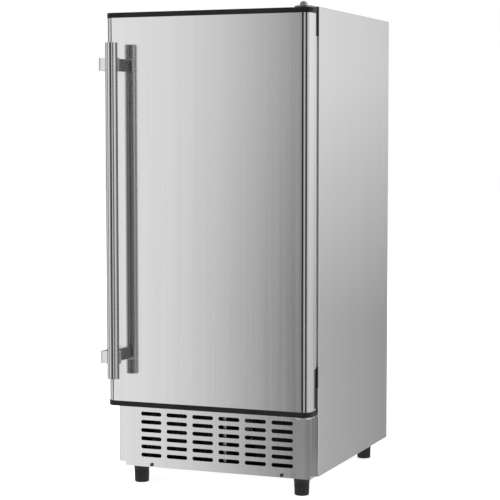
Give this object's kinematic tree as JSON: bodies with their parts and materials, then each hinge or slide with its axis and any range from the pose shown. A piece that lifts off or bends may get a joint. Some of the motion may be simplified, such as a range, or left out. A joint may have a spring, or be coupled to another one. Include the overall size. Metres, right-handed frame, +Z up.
{
  "type": "ice maker",
  "caption": "Undercounter ice maker: insulated steel cabinet, hinged door with an upright bar handle, slotted base grille, levelling feet and the ice-making parts inside.",
  "frame": {"origin": "centre of the whole outline, on the floor", "axes": "+Z up, the door faces -Y, the hinges are on the +X side"},
  "size_m": [0.386, 0.503, 0.856],
  "materials": {
    "stainless": "brushed",
    "handle_steel": "satin",
    "galvanised": "satin",
    "black_plastic": "satin",
    "black_paint": "satin",
    "white_plastic": "gloss",
    "grey_plastic": "satin",
    "foam": "matte",
    "seal_rubber": "matte",
    "black_rubber": "matte",
    "clear_plastic": "gloss",
    "display_glass": "gloss",
    "circuit_board": "satin",
    "nickel_plate": "satin",
    "copper": "satin",
    "screw_steel": "satin"
  },
  "bodies": {
    "cabinet": {"side_panel_left": "stainless", "side_panel_right": "stainless", "top_panel": "stainless", "rear_panel": "galvanised", "service_cover": "galvanised", "base_pan": "galvanised", "machine_deck": "galvanised", "front_rail": "stainless", "front_bezel": "white_plastic", "front_grille": "stainless", "panel_screws": "screw_steel", "bin_liner": "white_plastic", "cabinet_foam": "foam", "upper_hinge_bracket": "black_paint", "lower_hinge_bracket": "galvanised", "hinge_pins": "screw_steel", "door_switch": "black_plastic", "control_fascia": "grey_plastic", "display_window": "display_glass", "control_board": "circuit_board", "evaporator": "nickel_plate", "evaporator_coil": "copper", "water_distributor": "white_plastic", "water_tank": "grey_plastic", "circulation_pump": "black_plastic", "water_hose": "clear_plastic", "bin_sensor": "copper", "compressor": "black_paint", "compressor_mounts": "black_rubber", "condenser": "black_paint", "condenser_bracket": "galvanised", "fan_shroud": "black_plastic", "fan_motor": "galvanised", "refrigerant_lines": "copper", "electrical_box": "black_plastic", "inlet_valve": "white_plastic", "drain_outlet": "grey_plastic", "power_gland": "black_plastic"},
    "door": {"door_skin": "stainless", "door_foam": "foam", "door_liner": "white_plastic", "door_seal": "seal_rubber", "door_caps": "black_plastic", "door_bushes": "white_plastic", "door_magnet": "black_plastic", "handle_bar": "handle_steel", "handle_brackets": "handle_steel", "handle_screws": "screw_steel"},
    "fan": {"fan_blade": "black_plastic"},
    "impeller": {"pump_impeller": "white_plastic"},
    "float": {"level_float": "white_plastic"},
    "curtain": {"water_curtain": "clear_plastic"},
    "scoop": {"ice_scoop": "clear_plastic"},
    "button_1": {"push_button_1": "black_plastic"},
    "button_2": {"push_button_2": "black_plastic"},
    "button_3": {"push_button_3": "black_plastic"},
    "foot_front_left": {"foot_front_left": "black_rubber"},
    "foot_front_right": {"foot_front_right": "black_rubber"},
    "foot_rear_left": {"foot_rear_left": "black_rubber"},
    "foot_rear_right": {"foot_rear_right": "black_rubber"}
  },
  "joints": [
    {"name": "door_hinge", "type": "hinge", "parent": "cabinet", "child": "door", "pos_m": [0.173, -0.1825, 0.5], "axis": [0, 0, 1], "range_deg": [0, 110]},
    {"name": "fan_spin", "type": "hinge", "parent": "cabinet", "child": "fan", "pos_m": [-0.065, -0.078, 0.091], "axis": [0, 1, 0], "continuous": true},
    {"name": "impeller_spin", "type": "hinge", "parent": "cabinet", "child": "impeller", "pos_m": [-0.07, 0.124, 0.48], "axis": [0, 0, 1], "continuous": true},
    {"name": "float_lift", "type": "slide", "parent": "cabinet", "child": "float", "axis": [0, 0, 1], "range_m": [0, 0.025]},
    {"name": "curtain_swing", "type": "hinge", "parent": "cabinet", "child": "curtain", "pos_m": [0, 0.05, 0.772], "axis": [-1, 0, 0], "range_deg": [0, 45]},
    {"name": "scoop_lift", "type": "slide", "parent": "cabinet", "child": "scoop", "axis": [0, 0, 1], "range_m": [0, 0.15]},
    {"name": "button_1_press", "type": "slide", "parent": "cabinet", "child": "button_1", "axis": [0, 1, 0], "range_m": [0, 0.002], "stiffness_N_per_m": 300, "springref_m": -0.002},
    {"name": "button_2_press", "type": "slide", "parent": "cabinet", "child": "button_2", "axis": [0, 1, 0], "range_m": [0, 0.002], "stiffness_N_per_m": 300, "springref_m": -0.002},
    {"name": "button_3_press", "type": "slide", "parent": "cabinet", "child": "button_3", "axis": [0, 1, 0], "range_m": [0, 0.002], "stiffness_N_per_m": 300, "springref_m": -0.002},
    {"name": "foot_front_left_screw", "type": "slide", "parent": "cabinet", "child": "foot_front_left", "axis": [0, 0, -1], "range_m": [0, 0.012]},
    {"name": "foot_front_right_screw", "type": "slide", "parent": "cabinet", "child": "foot_front_right", "axis": [0, 0, -1], "range_m": [0, 0.012]},
    {"name": "foot_rear_left_screw", "type": "slide", "parent": "cabinet", "child": "foot_rear_left", "axis": [0, 0, -1], "range_m": [0, 0.012]},
    {"name": "foot_rear_right_screw", "type": "slide", "parent": "cabinet", "child": "foot_rear_right", "axis": [0, 0, -1], "range_m": [0, 0.012]}
  ]
}
